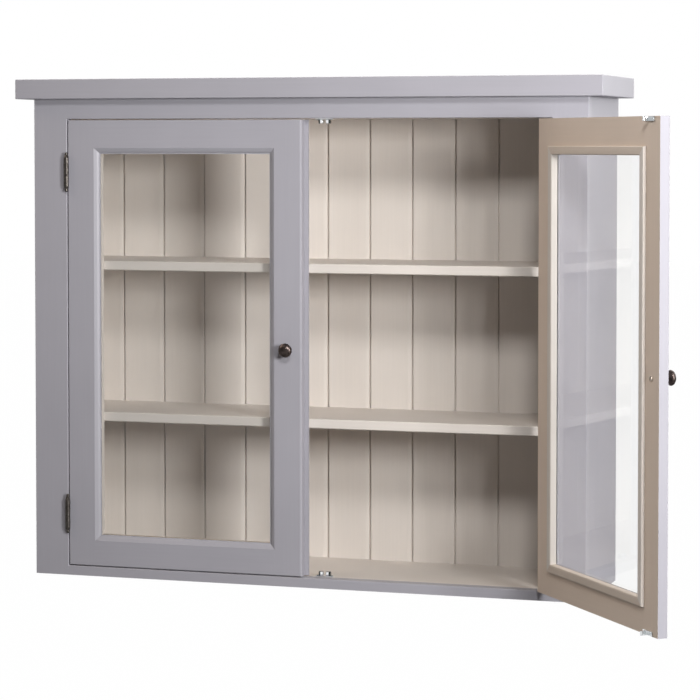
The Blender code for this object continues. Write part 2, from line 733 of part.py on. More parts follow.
def knob_profile():
    """A turned mushroom knob on a waisted neck, bored for its screw."""
    bore = KNOB_SCREW_RADIUS + SEAT_GAP
    profile = [(0.0, KNOB_BORE_DEPTH), (bore, KNOB_BORE_DEPTH), (bore, 0.0), (KNOB_BASE_RADIUS, 0.0)]
    profile += [(KNOB_BASE_RADIUS, KNOB_BASE_HEIGHT)]
    profile += [(KNOB_NECK_RADIUS, KNOB_BASE_HEIGHT + (KNOB_NECK_HEIGHT - KNOB_BASE_HEIGHT) / 2)]
    profile += [(KNOB_NECK_RADIUS, KNOB_NECK_HEIGHT)]
    under = KNOB_RIM - KNOB_NECK_HEIGHT
    flare = KNOB_RADIUS - KNOB_NECK_RADIUS
    for across, down in arc((0.0, 0.0), 1.0, 90, 0, ARC_STEPS)[1:]:
        profile.append((KNOB_NECK_RADIUS + flare * across, KNOB_RIM - under * down))
    for across, rise in arc((0.0, 0.0), 1.0, 0, 90, DOME_STEPS)[1:-1]:
        profile.append((KNOB_RADIUS * across, KNOB_RIM + (KNOB_LENGTH - KNOB_RIM) * rise))
    profile.append((0.0, KNOB_LENGTH))
    return profile


def make_knob(prefix, pivot, place):
    """The knob and its screw; gives the hole that the screw needs in the stile."""
    u = door_far - LOCK_STILE_WIDTH / 2
    z = (door_bottom + door_top) / 2 - KNOB_DROP
    front = facing(place(u, -SEAT_GAP, z), (0.0, -1.0, 0.0))
    bm = bmesh.new()
    add_lathe(bm, knob_profile(), KNOB_SEGMENTS, front)
    add_piece(prefix + "_knob", bm, pivot, BRONZE, smooth=True)
    back = facing(place(u, DOOR_THICKNESS + SEAT_GAP, z), (0.0, 1.0, 0.0))
    end = -(DOOR_THICKNESS + SEAT_GAP + KNOB_BORE_DEPTH)
    profile = [(0.0, KNOB_SCREW_HEAD_HEIGHT), (KNOB_SCREW_HEAD_RADIUS / 2, KNOB_SCREW_HEAD_HEIGHT)]
    profile += [(KNOB_SCREW_HEAD_RADIUS, KNOB_SCREW_HEAD_HEIGHT / 2), (KNOB_SCREW_HEAD_RADIUS, 0.0)]
    profile += [(KNOB_SCREW_RADIUS, 0.0), (KNOB_SCREW_RADIUS, end), (0.0, end)]
    bm = bmesh.new()
    add_lathe(bm, profile, BARREL_SEGMENTS, back)
    add_piece(prefix + "_knob_screw", bm, pivot, STEEL, smooth=True)
    hole = KNOB_SCREW_RADIUS + SEAT_GAP
    past = DOOR_THICKNESS + CUT_PAST
    bm = bmesh.new()
    add_lathe(bm, [(0.0, CUT_PAST), (hole, CUT_PAST), (hole, -past), (0.0, -past)], BARREL_SEGMENTS, back)
    return add_tool(prefix + "_knob_hole", bm, pivot)


def strike_outline():
    """Plan of a strike: its plate on the door's back and a tongue with a rounded end."""
    half = STRIKE_LENGTH / 2
    neck = TONGUE_NECK / 2
    seat = DOOR_THICKNESS + SEAT_GAP
    face = seat + STRIKE_PLATE
    bulb = (strike_u, catch_y + TONGUE_BULB_BEHIND)
    shoulder = -math.degrees(math.acos(neck / TONGUE_BULB_RADIUS))
    outline = [(strike_u - half, seat), (strike_u + half, seat), (strike_u + half, face)]
    outline += [(strike_u + neck, face)]
    outline += arc(bulb, TONGUE_BULB_RADIUS, shoulder, 180 - shoulder, 2 * ARC_STEPS)
    outline += [(strike_u - neck, face), (strike_u - half, face)]
    return outline


def make_strikes(prefix, pivot, place):
    outline = strike_outline()
    rise = SEAT_GAP + CATCH_AXIS_HEIGHT
    for level, middle in (("lower", opening_bottom + rise), ("upper", opening_top - rise)):
        ends = (middle - STRIKE_HEIGHT / 2, middle + STRIKE_HEIGHT / 2)
        bm = bmesh.new()
        add_loft(bm, [[place(u, d, z) for u, d in outline] for z in ends])
        add_piece(prefix + "_" + level + "_strike", bm, pivot, CHROME)


def make_meeting_strip(pivot, place):
    """The strip behind the left door's free edge that the right door closes on."""
    seat = DOOR_THICKNESS + SEAT_GAP
    low = place(door_far - MEETING_STRIP_LAP, seat, door_bottom)
    high = place(door_far + MEETING_STRIP_OVERHANG, seat + MEETING_STRIP_THICKNESS, door_top)
    add_piece("left_door_meeting_strip", box_mesh(low, high), pivot, GREY_PAINT)


def make_door(cabinet, side, word, turn, frame_stile):
    """One door on its pivot, with its hinges; u runs from the hinge's axis to the free edge."""
    prefix = word + "_door"
    axis = (side * hinge_x, -hinge_proud)
    pivot = add_empty(prefix + "_pivot", cabinet, (*axis, 0.0), turn)

    def place(u, depth, z):
        return (-side * u, hinge_proud + depth, z)

    stiles = make_door_frame(prefix, pivot, place)
    make_glazing(prefix, pivot, place)
    combine(stiles["_lock_stile"], make_knob(prefix, pivot, place))
    if side < 0:
        make_meeting_strip(pivot, place)
    else:
        make_strikes(prefix, pivot, place)
    make_hinges(cabinet, pivot, side, word, frame_stile, stiles["_hinge_stile"])


def main():
    clear_scene()
    cabinet = add_empty("cabinet_front", None, (0.0, -CARCASS_DEPTH, -hanging_rail_middle))
    make_top_board(cabinet)
    make_side_panels(cabinet, make_level_boards(cabinet))
    frame_stiles = make_face_frame(cabinet)
    make_back_boards(cabinet)
    make_wall_rails(cabinet)
    make_catches(cabinet)
    make_door(cabinet, -1, "left", -LEFT_DOOR_OPEN, frame_stiles[-1])
    make_door(cabinet, 1, "right", RIGHT_DOOR_OPEN, frame_stiles[1])


main()
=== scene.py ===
"""Looks of the wall cabinet: paint, glass, metal, wood screws, studio light and the photograph's camera.

The frame's origin is the middle of the hanging rail's wall face: X to the right, Y into the wall, Z up.
Door coordinates: u runs from the hinge's axis to the free edge, depth goes back from the door's face.
"""

import math

import bmesh
import bpy
from mathutils import Matrix, Vector


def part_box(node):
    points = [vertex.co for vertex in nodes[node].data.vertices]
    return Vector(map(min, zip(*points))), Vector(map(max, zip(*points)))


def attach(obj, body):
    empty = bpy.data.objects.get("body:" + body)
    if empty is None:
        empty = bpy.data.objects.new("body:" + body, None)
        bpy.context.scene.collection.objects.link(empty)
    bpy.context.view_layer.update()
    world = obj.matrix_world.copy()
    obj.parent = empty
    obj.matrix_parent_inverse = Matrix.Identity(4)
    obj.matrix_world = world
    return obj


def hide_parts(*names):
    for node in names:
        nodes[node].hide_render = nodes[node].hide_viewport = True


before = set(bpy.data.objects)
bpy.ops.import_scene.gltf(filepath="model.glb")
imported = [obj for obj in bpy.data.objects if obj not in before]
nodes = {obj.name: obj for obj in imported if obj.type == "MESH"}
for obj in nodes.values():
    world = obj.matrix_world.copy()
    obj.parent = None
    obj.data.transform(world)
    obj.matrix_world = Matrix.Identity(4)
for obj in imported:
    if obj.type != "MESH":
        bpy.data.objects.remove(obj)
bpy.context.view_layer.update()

# Paint and metal colours, as linear red, green and blue
GREY = (0.384, 0.372, 0.408)
CREAM = (0.728, 0.670, 0.617)
# The next colour, on the doors' backs, is a warmer copy of the inside cream: painted warm shade from light
# bounced inside the cabinet
BACK_SHADE_TAN = (0.755, 0.630, 0.530)
BRONZE_DARK = (0.045, 0.034, 0.031)
BRONZE_WORN = (0.180, 0.140, 0.128)
PEWTER_DARK = (0.048, 0.042, 0.038)
PEWTER_WORN = (0.175, 0.157, 0.142)
CHROME_BRIGHT = (0.90, 0.91, 0.92)
CHROME_DULL = (0.74, 0.76, 0.78)
STRIKE_BRIGHT = (0.80, 0.81, 0.82)
STRIKE_DULL = (0.52, 0.55, 0.56)
STEEL_BRIGHT = (0.70, 0.62, 0.55)
STEEL_DULL = (0.50, 0.43, 0.37)
NUT_DARK = (0.060, 0.075, 0.075)
NUT_WORN = (0.240, 0.275, 0.275)
# The next colour, on the top and bottom beads, is a darker copy of the cream: painted shade
LEVEL_BEAD_SHADE = (0.660, 0.565, 0.480)

# How far the right door stands open at rest
RIGHT_DOOR_TURN = math.radians(128)

# Back boards: each has a long eased edge, then an open line, then the next board's short eased edge;
# an easing is (width, depth)
BOARD_PITCH = 0.087
FIRST_BOARD_SHOW = 0.0667
LEAST_BOARD_SHOW = 0.020
BOARD_LONG_EASING = (0.0080, 0.0011)
BOARD_SHORT_EASING = (0.0012, 0.0006)
BOARD_LINE_WIDTH = 0.0030
BOARD_LINE_DEPTH = 0.0055

# Fine pieces; a pair for a collar or a nut is where it starts and ends along the catch
UNDER_FACE = 0.00005
JOINT_GAP = 0.0003
JOINT_OVERLAP = 0.0002
FRAME_EASING = 0.0012
DOOR_EASING = 0.0012
MOULDING_WIDTH = 0.0112
MOULDING_STEP = 0.0003
MOULDING_BEVEL_WIDTH = 0.0038
MOULDING_SLOPES = (28.0, 56.0)
MOULDING_FILLET_WIDTH = 0.0020
MOULDING_FILLET_DEPTH = 0.0068
MOULDING_FILLET_FALL = 0.0004
MOULDING_ROUND_STEPS = 16
GLASS_DEPTH = 0.0078
BEAD_INNER_ROUND = 0.0026
BEAD_OUTER_ROUND = 0.0015
BEAD_STEPS = 8
BARREL_RADIUS = 0.0047
BORE_RADIUS = 0.0023
KNUCKLE_COUNT = 5
KNUCKLE_EASING = 0.0003
HINGE_HEIGHT = 0.056
LEAF_SPACE = 0.0004
LEAF_THICKNESS = 0.0016
LEAF_DEPTH = 0.015
LEAF_SCREW_STEP = 0.019
LEAF_SCREW_STAGGER = 0.0015
LEAF_SCREW_RADIUS = 0.0025
LEAF_SCREW_RISE = 0.3
CATCH_SCREW_REACH = 0.0142
CATCH_SCREW_RADIUS = 0.0022
CATCH_SCREW_HEIGHT = 0.0007
CATCH_PLATE = 0.0014
CATCH_AXIS = 0.0060
CATCH_HALF_WIDTH = 0.0040
CATCH_EASING = 0.0004
CATCH_BORE_RADIUS = 0.0027
CATCH_BORE_DEPTH = 0.0070
CATCH_COLLAR = (0.0032, 0.0084)
CATCH_NUT = (0.0087, 0.0115)
CATCH_NUT_SHARE = 0.92
BALL_SEGMENTS = (32, 16)
STRIKE_SCREW_REACH = 0.0115
STRIKE_SCREW_RADIUS = 0.0024
STRIKE_SCREW_HEIGHT = 0.0008
STRIKE_PLATE = 0.0014

# A turned knob from the door's face to its crown, as (radius, height)
KNOB_PROFILE = (
    (0.0080, 0.0000), (0.0080, 0.0014), (0.0076, 0.0020), (0.0063, 0.0030), (0.0056, 0.0048),
    (0.0054, 0.0070), (0.0058, 0.0086), (0.0072, 0.0100), (0.0100, 0.0118), (0.0124, 0.0138),
    (0.0132, 0.0156), (0.0134, 0.0167), (0.0129, 0.0184), (0.0116, 0.0203), (0.0094, 0.0219),
    (0.0066, 0.0230), (0.0034, 0.0236),
)
KNOB_SCREW_RADIUS = 0.0050
KNOB_SCREW_HEIGHT = 0.0024

# A hinge pin's tip, as (radius, height): the foot from the barrel's end, the point from the pin's end
PIN_FOOT = (
    (0.0020, -0.0030), (0.0020, 0.0000), (0.0044, 0.0000), (0.0047, 0.0004),
    (0.004324, 0.0014), (0.0032, 0.0030), (0.0026, 0.0042), (0.0029, 0.0060),
)
PIN_POINT = ((0.0028, -0.0018), (0.0020, -0.0006), (0.0009, 0.0000))

# Slotted screw heads, in shares of the head's radius and height
SCREW_SEGMENTS = 32
SCREW_HALF_STEPS = 14
SCREW_DISC = ((1.0, 0.0), (1.0, 0.32), (0.96, 0.40))
SCREW_HALVES = ((0.97, 0.0), (0.97, 0.7), (0.88, 1.0))
SCREW_SLOT = 0.16

# Segments of turned pieces, and the least angles that stay sharp edges
TURNED_SEGMENTS = 64
SMOOTH_ANGLE = math.radians(35)
MOULDING_SMOOTH_ANGLE = math.radians(15)
BOARD_SMOOTH_ANGLE = math.radians(4)

# Camera, fitted to the photograph's straight edges
CAMERA_PLACE = (1.5410, -4.8023, -0.0277)
CAMERA_YAW = math.radians(17.668)
CAMERA_PITCH = math.radians(2.358)
CAMERA_LENS = 131.02
CAMERA_SENSOR = 36.0
CAMERA_SHIFT = -100 / 700
CAMERA_REACH = 200.0

# Studio
FLOOR_LEVEL = -1.65
FLOOR_HALF = 30.0
FLOOR_GLOW = 0.995
FLOOR_COLOUR = (0.15, 0.15, 0.15)
FLOOR_ROUGHNESS = 0.9
LAMP_AIM = (0.0, -0.25, 0.05)
LAMP_SPREAD = math.radians(140)
LAMP_SIZE = (0.6, 0.6)
KEY_PLACE = (2.31, -2.25, 0.11)
KEY_POWER = 50.0
FRONT_PLACE = (1.20, -3.05, 1.60)
FRONT_POWER = 29.0
FILL_PLACE = (-2.60, -1.10, 2.00)
FILL_SIZE = (1.5, 1.5)
FILL_POWER = 17.5
FILL_COLOUR = (1.0, 0.86, 0.74)
BACKDROP_GLOW = 1.75
BACKDROP_EDGE = 0.1
GLOSS_SHARE = 0.15
ROOM_GLOW = 0.0

# Places read from the model
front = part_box("left_frame_stile")[0].y
pin_low, pin_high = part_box("right_upper_hinge_pin")
hinge_x = (pin_low.x + pin_high.x) / 2
hinge_y = (pin_low.y + pin_high.y) / 2
glazing_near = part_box("left_door_hinge_stile")[1].x + hinge_x
glazing_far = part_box("left_door_lock_stile")[0].x + hinge_x
glazing_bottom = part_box("left_door_bottom_rail")[1].z
glazing_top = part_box("left_door_top_rail")[0].z
door_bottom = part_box("left_door_bottom_rail")[0].z
door_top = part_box("left_door_top_rail")[1].z
door_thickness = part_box("left_door_top_rail")[1].y - front


# Node helpers

# A mix node's colour sockets come after those for numbers and vectors
MIX_FIRST_COLOUR = 6
MIX_SECOND_COLOUR = 7
MIX_COLOUR = 2


class Nodes:
    """A tree of nodes, added one after another."""

    def __init__(self, tree):
        self.tree = tree
        self.coordinates = self.add("ShaderNodeTexCoord")

    def add(self, kind, **settings):
        node = self.tree.nodes.new(kind)
        for name, value in settings.items():
            setattr(node, name, value)
        return node

    def feed(self, socket, value):
        """Links a node's socket, or sets a plain value."""
        if isinstance(value, bpy.types.NodeSocket):
            self.tree.links.new(value, socket)
        elif hasattr(value, "__len__") and len(value) == 3 and len(socket.default_value) == 4:
            socket.default_value = (*value, 1.0)
        else:
            socket.default_value = value

    def stretched(self, scale, turn=0.0):
        """Object coordinates turned about Z and scaled along each axis."""
        turned = self.add("ShaderNodeVectorRotate", rotation_type='Z_AXIS')
        self.feed(turned.inputs["Vector"], self.coordinates.outputs["Object"])
        self.feed(turned.inputs["Angle"], -turn)
        scaled = self.add("ShaderNodeVectorMath", operation='MULTIPLY')
        self.feed(scaled.inputs[0], turned.outputs["Vector"])
        self.feed(scaled.inputs[1], scale)
        return scaled.outputs["Vector"]

    def noise(self, vector, scale, detail=3.0, roughness=0.5):
        node = self.add("ShaderNodeTexNoise")
        self.feed(node.inputs["Vector"], vector)
        self.feed(node.inputs["Scale"], scale)
        self.feed(node.inputs["Detail"], detail)
        self.feed(node.inputs["Roughness"], roughness)
        return node.outputs["Fac"]

    def spread(self, value, low, high, start=0.0, end=1.0):
        """A value brought from one range to another."""
        node = self.add("ShaderNodeMapRange")
        self.feed(node.inputs["Value"], value)
        self.feed(node.inputs["From Min"], start)
        self.feed(node.inputs["From Max"], end)
        self.feed(node.inputs["To Min"], low)
        self.feed(node.inputs["To Max"], high)
        return node.outputs["Result"]

    def math(self, operation, first, second):
        node = self.add("ShaderNodeMath", operation=operation)
        self.feed(node.inputs[0], first)
        self.feed(node.inputs[1], second)
        return node.outputs["Value"]

    def mix(self, factor, first, second, blend='MIX'):
        node = self.add("ShaderNodeMix", data_type='RGBA', blend_type=blend)
        self.feed(node.inputs["Factor"], factor)
        self.feed(node.inputs[MIX_FIRST_COLOUR], first)
        self.feed(node.inputs[MIX_SECOND_COLOUR], second)
        return node.outputs[MIX_COLOUR]

    def bump(self, height, distance, strength, under=None):
        node = self.add("ShaderNodeBump")
        self.feed(node.inputs["Height"], height)
        self.feed(node.inputs["Distance"], distance)
        self.feed(node.inputs["Strength"], strength)
        if under is not None:
            self.feed(node.inputs["Normal"], under)
        return node.outputs["Normal"]

    def facing(self, direction, least):
        """1 on faces that look along a direction, and 0 on the others."""
        node = self.add("ShaderNodeVectorMath", operation='DOT_PRODUCT')
        self.feed(node.inputs[0], self.coordinates.outputs["Normal"])
        self.feed(node.inputs[1], direction)
        return self.math('GREATER_THAN', node.outputs["Value"], least)

    def sees_white(self):
        """1 for rays that see the white studio, and a share for rough reflections."""
        path = self.add("ShaderNodeLightPath")
        seen = self.math('MULTIPLY', path.outputs["Is Glossy Ray"], GLOSS_SHARE)
        for kind in ("Is Singular Ray", "Is Transmission Ray", "Is Camera Ray"):
            seen = self.math('MAXIMUM', seen, path.outputs[kind])
        return seen

    def blend_shaders(self, output, factor, first, second):
        """Ends the tree with a blend of two shaders."""
        blend = self.add("ShaderNodeMixShader")
        self.feed(blend.inputs[0], factor)
        self.feed(blend.inputs[1], first)
        self.feed(blend.inputs[2], second)
        self.feed(output.inputs["Surface"], blend.outputs["Shader"])


class Recipe(Nodes):
    """A material's nodes."""

    def __init__(self, name):
        self.material = bpy.data.materials.new(name)
        self.material.use_nodes = True
        super().__init__(self.material.node_tree)
        self.shader = self.tree.nodes["Principled BSDF"]
        self.output = self.tree.nodes["Material Output"]


# Materials

# Shine of the paints
EGGSHELL = 0.30
MATT = 0.10
SATIN = 0.60

# Brush strokes along an axis, and the other details of paint, metal and glass
GRAINS = {"x": (6.0, 260.0, 260.0), "z": (260.0, 260.0, 6.0)}
EVEN = (1.0, 1.0, 1.0)
SECOND_COLOUR_FACING = 0.7
CLOUD_SCALE = 5.0
CLOUD_TONE = 0.035
STROKE_TONE = 0.022
STIPPLE_SCALE = 900.0
PAINT_ROUGHNESS = (0.38, 0.52)
METAL_FINE_GRAIN = 6
DENT_STRENGTH = 0.9
SMEAR_SCALE = 9.0
GLASS_ROUGHNESS = (0.008, 0.024)
GLASS_TINT = (0.996, 0.999, 0.998)
GLASS_LETS_THROUGH = (0.860, 0.863, 0.862)
GLASS_IOR = 1.38


def painted_wood(name, colour, grain, turn=0.0, other=None, toward=None, shine=EGGSHELL):
    """Brushed paint; faces that look along toward take the other colour."""
    recipe = Recipe(name)
    strokes = recipe.noise(recipe.stretched(GRAINS[grain], turn), 1.0, detail=4.0, roughness=0.6)
    level = recipe.stretched(EVEN, turn)
    clouds = recipe.noise(level, CLOUD_SCALE, detail=3.0, roughness=0.55)
    stipple = recipe.noise(level, STIPPLE_SCALE, detail=2.0, roughness=0.5)
    if other is not None:
        colour = recipe.mix(recipe.facing(toward, SECOND_COLOUR_FACING), colour, other)
    cloud_tone = recipe.spread(clouds, -CLOUD_TONE, CLOUD_TONE, start=0.25, end=0.75)
    stroke_tone = recipe.spread(strokes, -STROKE_TONE, STROKE_TONE, start=0.2, end=0.8)
    shade = recipe.math('ADD', recipe.math('ADD', cloud_tone, 1.0), stroke_tone)
    recipe.feed(recipe.shader.inputs["Base Color"], recipe.mix(1.0, colour, shade, 'MULTIPLY'))
    recipe.feed(recipe.shader.inputs["Roughness"], recipe.spread(strokes, *PAINT_ROUGHNESS))
    recipe.shader.inputs["Specular IOR Level"].default_value = shine
    raised = recipe.bump(strokes, distance=0.00020, strength=0.30)
    raised = recipe.bump(stipple, distance=0.00006, strength=0.25, under=raised)
    recipe.feed(recipe.shader.inputs["Normal"], raised)
    return recipe.material


def metal(name, dark, bright, roughness, scale, dents=None):
    """Metal with patches of wear; dents are the scale and depth of a hammered surface."""
    recipe = Recipe(name)
    level = recipe.stretched(EVEN)
    patches = recipe.noise(level, scale, detail=5.0, roughness=0.65)
    patches = recipe.spread(patches, 0.0, 1.0, start=0.30, end=0.70)
    recipe.feed(recipe.shader.inputs["Base Color"], recipe.mix(patches, dark, bright))
    recipe.feed(recipe.shader.inputs["Roughness"], recipe.spread(patches, *roughness))
    recipe.shader.inputs["Metallic"].default_value = 1.0
    fine = recipe.noise(level, scale * METAL_FINE_GRAIN, detail=3.0, roughness=0.6)
    raised = recipe.bump(fine, distance=0.00010, strength=0.20)
    if dents:
        cells = recipe.add("ShaderNodeTexVoronoi", feature='SMOOTH_F1')
        recipe.feed(cells.inputs["Vector"], level)
        recipe.feed(cells.inputs["Scale"], dents[0])
        raised = recipe.bump(cells.outputs["Distance"], dents[1], DENT_STRENGTH, raised)
    recipe.feed(recipe.shader.inputs["Normal"], raised)
    return recipe.material


def clear_glass(name):
    """A pane with faint smears that lets lamplight through to the shelves."""
    recipe = Recipe(name)
    smears = recipe.noise(recipe.stretched(EVEN), SMEAR_SCALE, detail=4.0, roughness=0.6)
    smears = recipe.spread(smears, *GLASS_ROUGHNESS, start=0.30, end=0.75)
    recipe.feed(recipe.shader.inputs["Roughness"], smears)
    recipe.shader.inputs["Base Color"].default_value = (*GLASS_TINT, 1.0)
    recipe.shader.inputs["Transmission Weight"].default_value = 1.0
    recipe.shader.inputs["IOR"].default_value = GLASS_IOR
    path = recipe.add("ShaderNodeLightPath")
    through = recipe.add("ShaderNodeBsdfTransparent")
    through.inputs["Color"].default_value = (*GLASS_LETS_THROUGH, 1.0)
    straight = recipe.math('MAXIMUM', path.outputs["Is Shadow Ray"], path.outputs["Is Diffuse Ray"])
    recipe.blend_shaders(recipe.output, straight, recipe.shader.outputs["BSDF"], through.outputs["BSDF"])
    return recipe.material


def paint(material, *names):
    """Gives nodes of the model a material."""
    for name in names:
        nodes[name].data.materials.clear()
        nodes[name].data.materials.append(material)


# Mesh helpers

def add_box(bm, low, high, place):
    """A box between two corners, in the coordinates that place turns into the frame's."""
    corners = [(x, y, z) for x in (low[0], high[0]) for y in (low[1], high[1]) for z in (low[2], high[2])]
    verts = [bm.verts.new(place(*corner)) for corner in corners]
    for quad in ((0, 1, 3, 2), (4, 6, 7, 5), (0, 4, 5, 1), (2, 3, 7, 6), (0, 2, 6, 4), (1, 5, 7, 3)):
        bm.faces.new([verts[index] for index in quad])


def join_rings(bm, near, far):
    """A band of faces between two rings with equal counts."""
    count = len(near)
    for index in range(count):
        after = (index + 1) % count
        bm.faces.new((near[index], near[after], far[after], far[index]))


def add_loft(bm, rings):
    """Rings of points with equal counts, joined in turn and capped at both ends."""
    loops = [[bm.verts.new(point) for point in points] for points in rings]
    for near, far in zip(loops, loops[1:]):
        join_rings(bm, near, far)
    bm.faces.new(loops[0])
    bm.faces.new(loops[-1])


def add_closed_loft(bm, rings):
    """Rings of points with equal counts, joined in turn and back to the first."""
    loops = [[bm.verts.new(point) for point in points] for points in rings]
    for near, far in zip(loops, loops[1:] + loops[:1]):
        join_rings(bm, near, far)


def ring(radius, height, matrix, segments=TURNED_SEGMENTS):
    """A circle of points about the matrix's local Z."""
    points = []
    for index in range(segments):
        angle = 2 * math.pi * index / segments
        points.append(matrix @ Vector((radius * math.cos(angle), radius * math.sin(angle), height)))
    return points


def pointing(point, direction):
    """A matrix that puts local Z along a direction, at a point."""
    turn = Vector((0.0, 0.0, 1.0)).rotation_difference(Vector(direction))
    return Matrix.Translation(point) @ turn.to_matrix().to_4x4()


def add_piece(name, bm, material, body, slot, *stands_for, smooth_angle=SMOOTH_ANGLE):
    """A finished piece that rides on a body and may stand for nodes of the model."""
    bmesh.ops.recalc_face_normals(bm, faces=bm.faces)
    mesh = bpy.data.meshes.new(name)
    bm.to_mesh(mesh)
    bm.free()
    mesh.shade_smooth()
    mesh.set_sharp_from_angle(angle=smooth_angle)
    mesh.materials.append(material)
    piece = bpy.data.objects.new(name, mesh)
    bpy.context.scene.collection.objects.link(piece)
    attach(piece, body)
    if stands_for:
        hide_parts(*stands_for)


def door_place(side, turn):
    """Turns door coordinates into the frame's; side is -1 for the left door and 1 for the right one."""
    spin = Matrix.Rotation(turn, 3, 'Z')
    axis = Vector((side * hinge_x, hinge_y, 0.0))

    def place(u, depth, z):
        return axis + spin @ Vector((-side * u, front - hinge_y + depth, z))

    return place


def add_screw_head(bm, centre, direction, radius, height):
    """A slotted head: a low disc with two raised half-rounds beside the slot."""
    matrix = pointing(centre, direction)
    disc = []
    for share, rise in SCREW_DISC:
        disc.append(ring(radius * share, height * rise, matrix, SCREW_SEGMENTS))
    add_loft(bm, disc)
    for sign in (-1, 1):
        outlines = []
        for share, rise in SCREW_HALVES:
            reach = radius * share
            start = math.asin(radius * SCREW_SLOT / reach)
            outline = []
            for step in range(SCREW_HALF_STEPS + 1):
                angle = start + (math.pi - 2 * start) * step / SCREW_HALF_STEPS
                point = Vector((reach * math.cos(angle), sign * reach * math.sin(angle), height * rise))
                outline.append(matrix @ point)
            outlines.append(outline)
        add_loft(bm, outlines)


# Paint on the model's own pieces

def paint_cabinet():
    """Grey outside and on every front, cream inside."""
    paint(painted_wood("grey_along", GREY, "x"), "top_board", "top_frame_rail", "bottom_frame_rail")
    paint(painted_wood("grey_upright", GREY, "z"), "left_frame_stile", "right_frame_stile")
    for word, inward in (("left", (1.0, 0.0, 0.0)), ("right", (-1.0, 0.0, 0.0))):
        side_paint = painted_wood(word + "_side_paint", GREY, "z", other=CREAM, toward=inward, shine=MATT)
        paint(side_paint, word + "_side_panel")
    down = (0.0, 0.0, -1.0)
    paint(painted_wood("floor_paint", CREAM, "x", other=GREY, toward=down, shine=MATT), "bottom_board")
    paint(painted_wood("cream_along", CREAM, "x", shine=MATT), "carcass_top", "upper_shelf", "lower_shelf")
    paint(painted_wood("cream_rails", CREAM, "x"), "hanging_rail", "wall_batten")


def paint_door(word, turn):
    """A door's members are grey, with a tan back face that is painted warm shade; returns the paint of its
    stiles.
    """
    behind = (-math.sin(turn), math.cos(turn), 0.0)
    prefix = word + "_door_"
    # The back faces take the tan, a painted warm shade over the cream
    rails = painted_wood(prefix + "rail_paint_shaded_back", GREY, "x", turn, BACK_SHADE_TAN, behind, MATT)
    paint(rails, prefix + "top_rail", prefix + "bottom_rail")
    stiles = painted_wood(prefix + "stile_paint_shaded_back", GREY, "z", turn, BACK_SHADE_TAN, behind, MATT)
    paint(stiles, prefix + "hinge_stile", prefix + "lock_stile")
    if prefix + "meeting_strip" in nodes:
        paint(stiles, prefix + "meeting_strip")
    paint(clear_glass(prefix + "glass"), prefix + "glass_pane")
    return stiles


# Finer pieces

def make_back_boards():
    """The boards of the back, with their eased edges and the open lines between them."""
    low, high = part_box("back_boards")
    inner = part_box("right_side_panel")[0].x
    face = low.y
    bed = face + BOARD_LINE_DEPTH
    half = BOARD_LINE_WIDTH / 2
    outline = [(low.x, high.y), (low.x, face)]
    joint = FIRST_BOARD_SHOW - inner
    while joint < inner - LEAST_BOARD_SHOW:
        outline.append((joint - half - BOARD_LONG_EASING[0], face))
        outline.append((joint - half, face + BOARD_LONG_EASING[1]))
        outline += [(joint - half, bed), (joint + half, bed)]
        outline.append((joint + half, face + BOARD_SHORT_EASING[1]))
        outline.append((joint + half + BOARD_SHORT_EASING[0], face))
        joint += BOARD_PITCH
    outline += [(high.x, face), (high.x, high.y)]
    bm = bmesh.new()
    add_loft(bm, [[(x, y, z) for x, y in outline] for z in (low.z, high.z)])
    material = painted_wood("cream_boards", CREAM, "z", shine=MATT)
    add_piece("back_boards_eased", bm, material, "cabinet", "cream_paint", "back_boards",
              smooth_angle=BOARD_SMOOTH_ANGLE)


def fill_frame_joints():
    """The paint that closes the joints between the face frame's stiles and rails."""
    bm = bmesh.new()
    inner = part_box("right_frame_stile")[0].x
    for name, eased in (("top_frame_rail", -1), ("bottom_frame_rail", 1)):
        low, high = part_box(name)
        bottom = low.z + UNDER_FACE
        top = high.z - UNDER_FACE
        back = high.y - UNDER_FACE
        face = low.y + UNDER_FACE
        outline = [(back, bottom), (back, top)]
        if eased > 0:
            outline += [(face + FRAME_EASING, top), (face, top - FRAME_EASING), (face, bottom)]
        else:
            outline += [(face, top), (face, bottom + FRAME_EASING), (face + FRAME_EASING, bottom)]
        for side in (-1, 1):
            ends = (side * (inner - JOINT_GAP - JOINT_OVERLAP), side * (inner + JOINT_OVERLAP))
            add_loft(bm, [[(x, y, z) for y, z in outline] for x in ends])
    add_piece("frame_joint_paint", bm, painted_wood("frame_joint_grey", GREY, "z"), "cabinet", "grey_paint")


def fill_door_joints(word, place, material):
    """The paint that closes the joints between a door's stiles and rails."""
    bm = bmesh.new()
    face = UNDER_FACE
    back = door_thickness - UNDER_FACE
    outlines = []
    top = door_top - UNDER_FACE
    outlines.append([(back, glazing_top), (back, top), (face + DOOR_EASING, top),
                     (face, top - DOOR_EASING), (face, glazing_top)])
    bottom = door_bottom + UNDER_FACE
    outlines.append([(back, glazing_bottom), (back, bottom), (face + DOOR_EASING, bottom),
                     (face, bottom + DOOR_EASING), (face, glazing_bottom)])
    spans = ((glazing_near - JOINT_OVERLAP, glazing_near + JOINT_GAP + JOINT_OVERLAP),
             (glazing_far - JOINT_GAP - JOINT_OVERLAP, glazing_far + JOINT_OVERLAP))
    for outline in outlines:
        for span in spans:
            add_loft(bm, [[place(u, depth, z) for depth, z in outline] for u in span])
    add_piece(word + "_door_joint_paint", bm, material, word + "_door", "grey_paint")


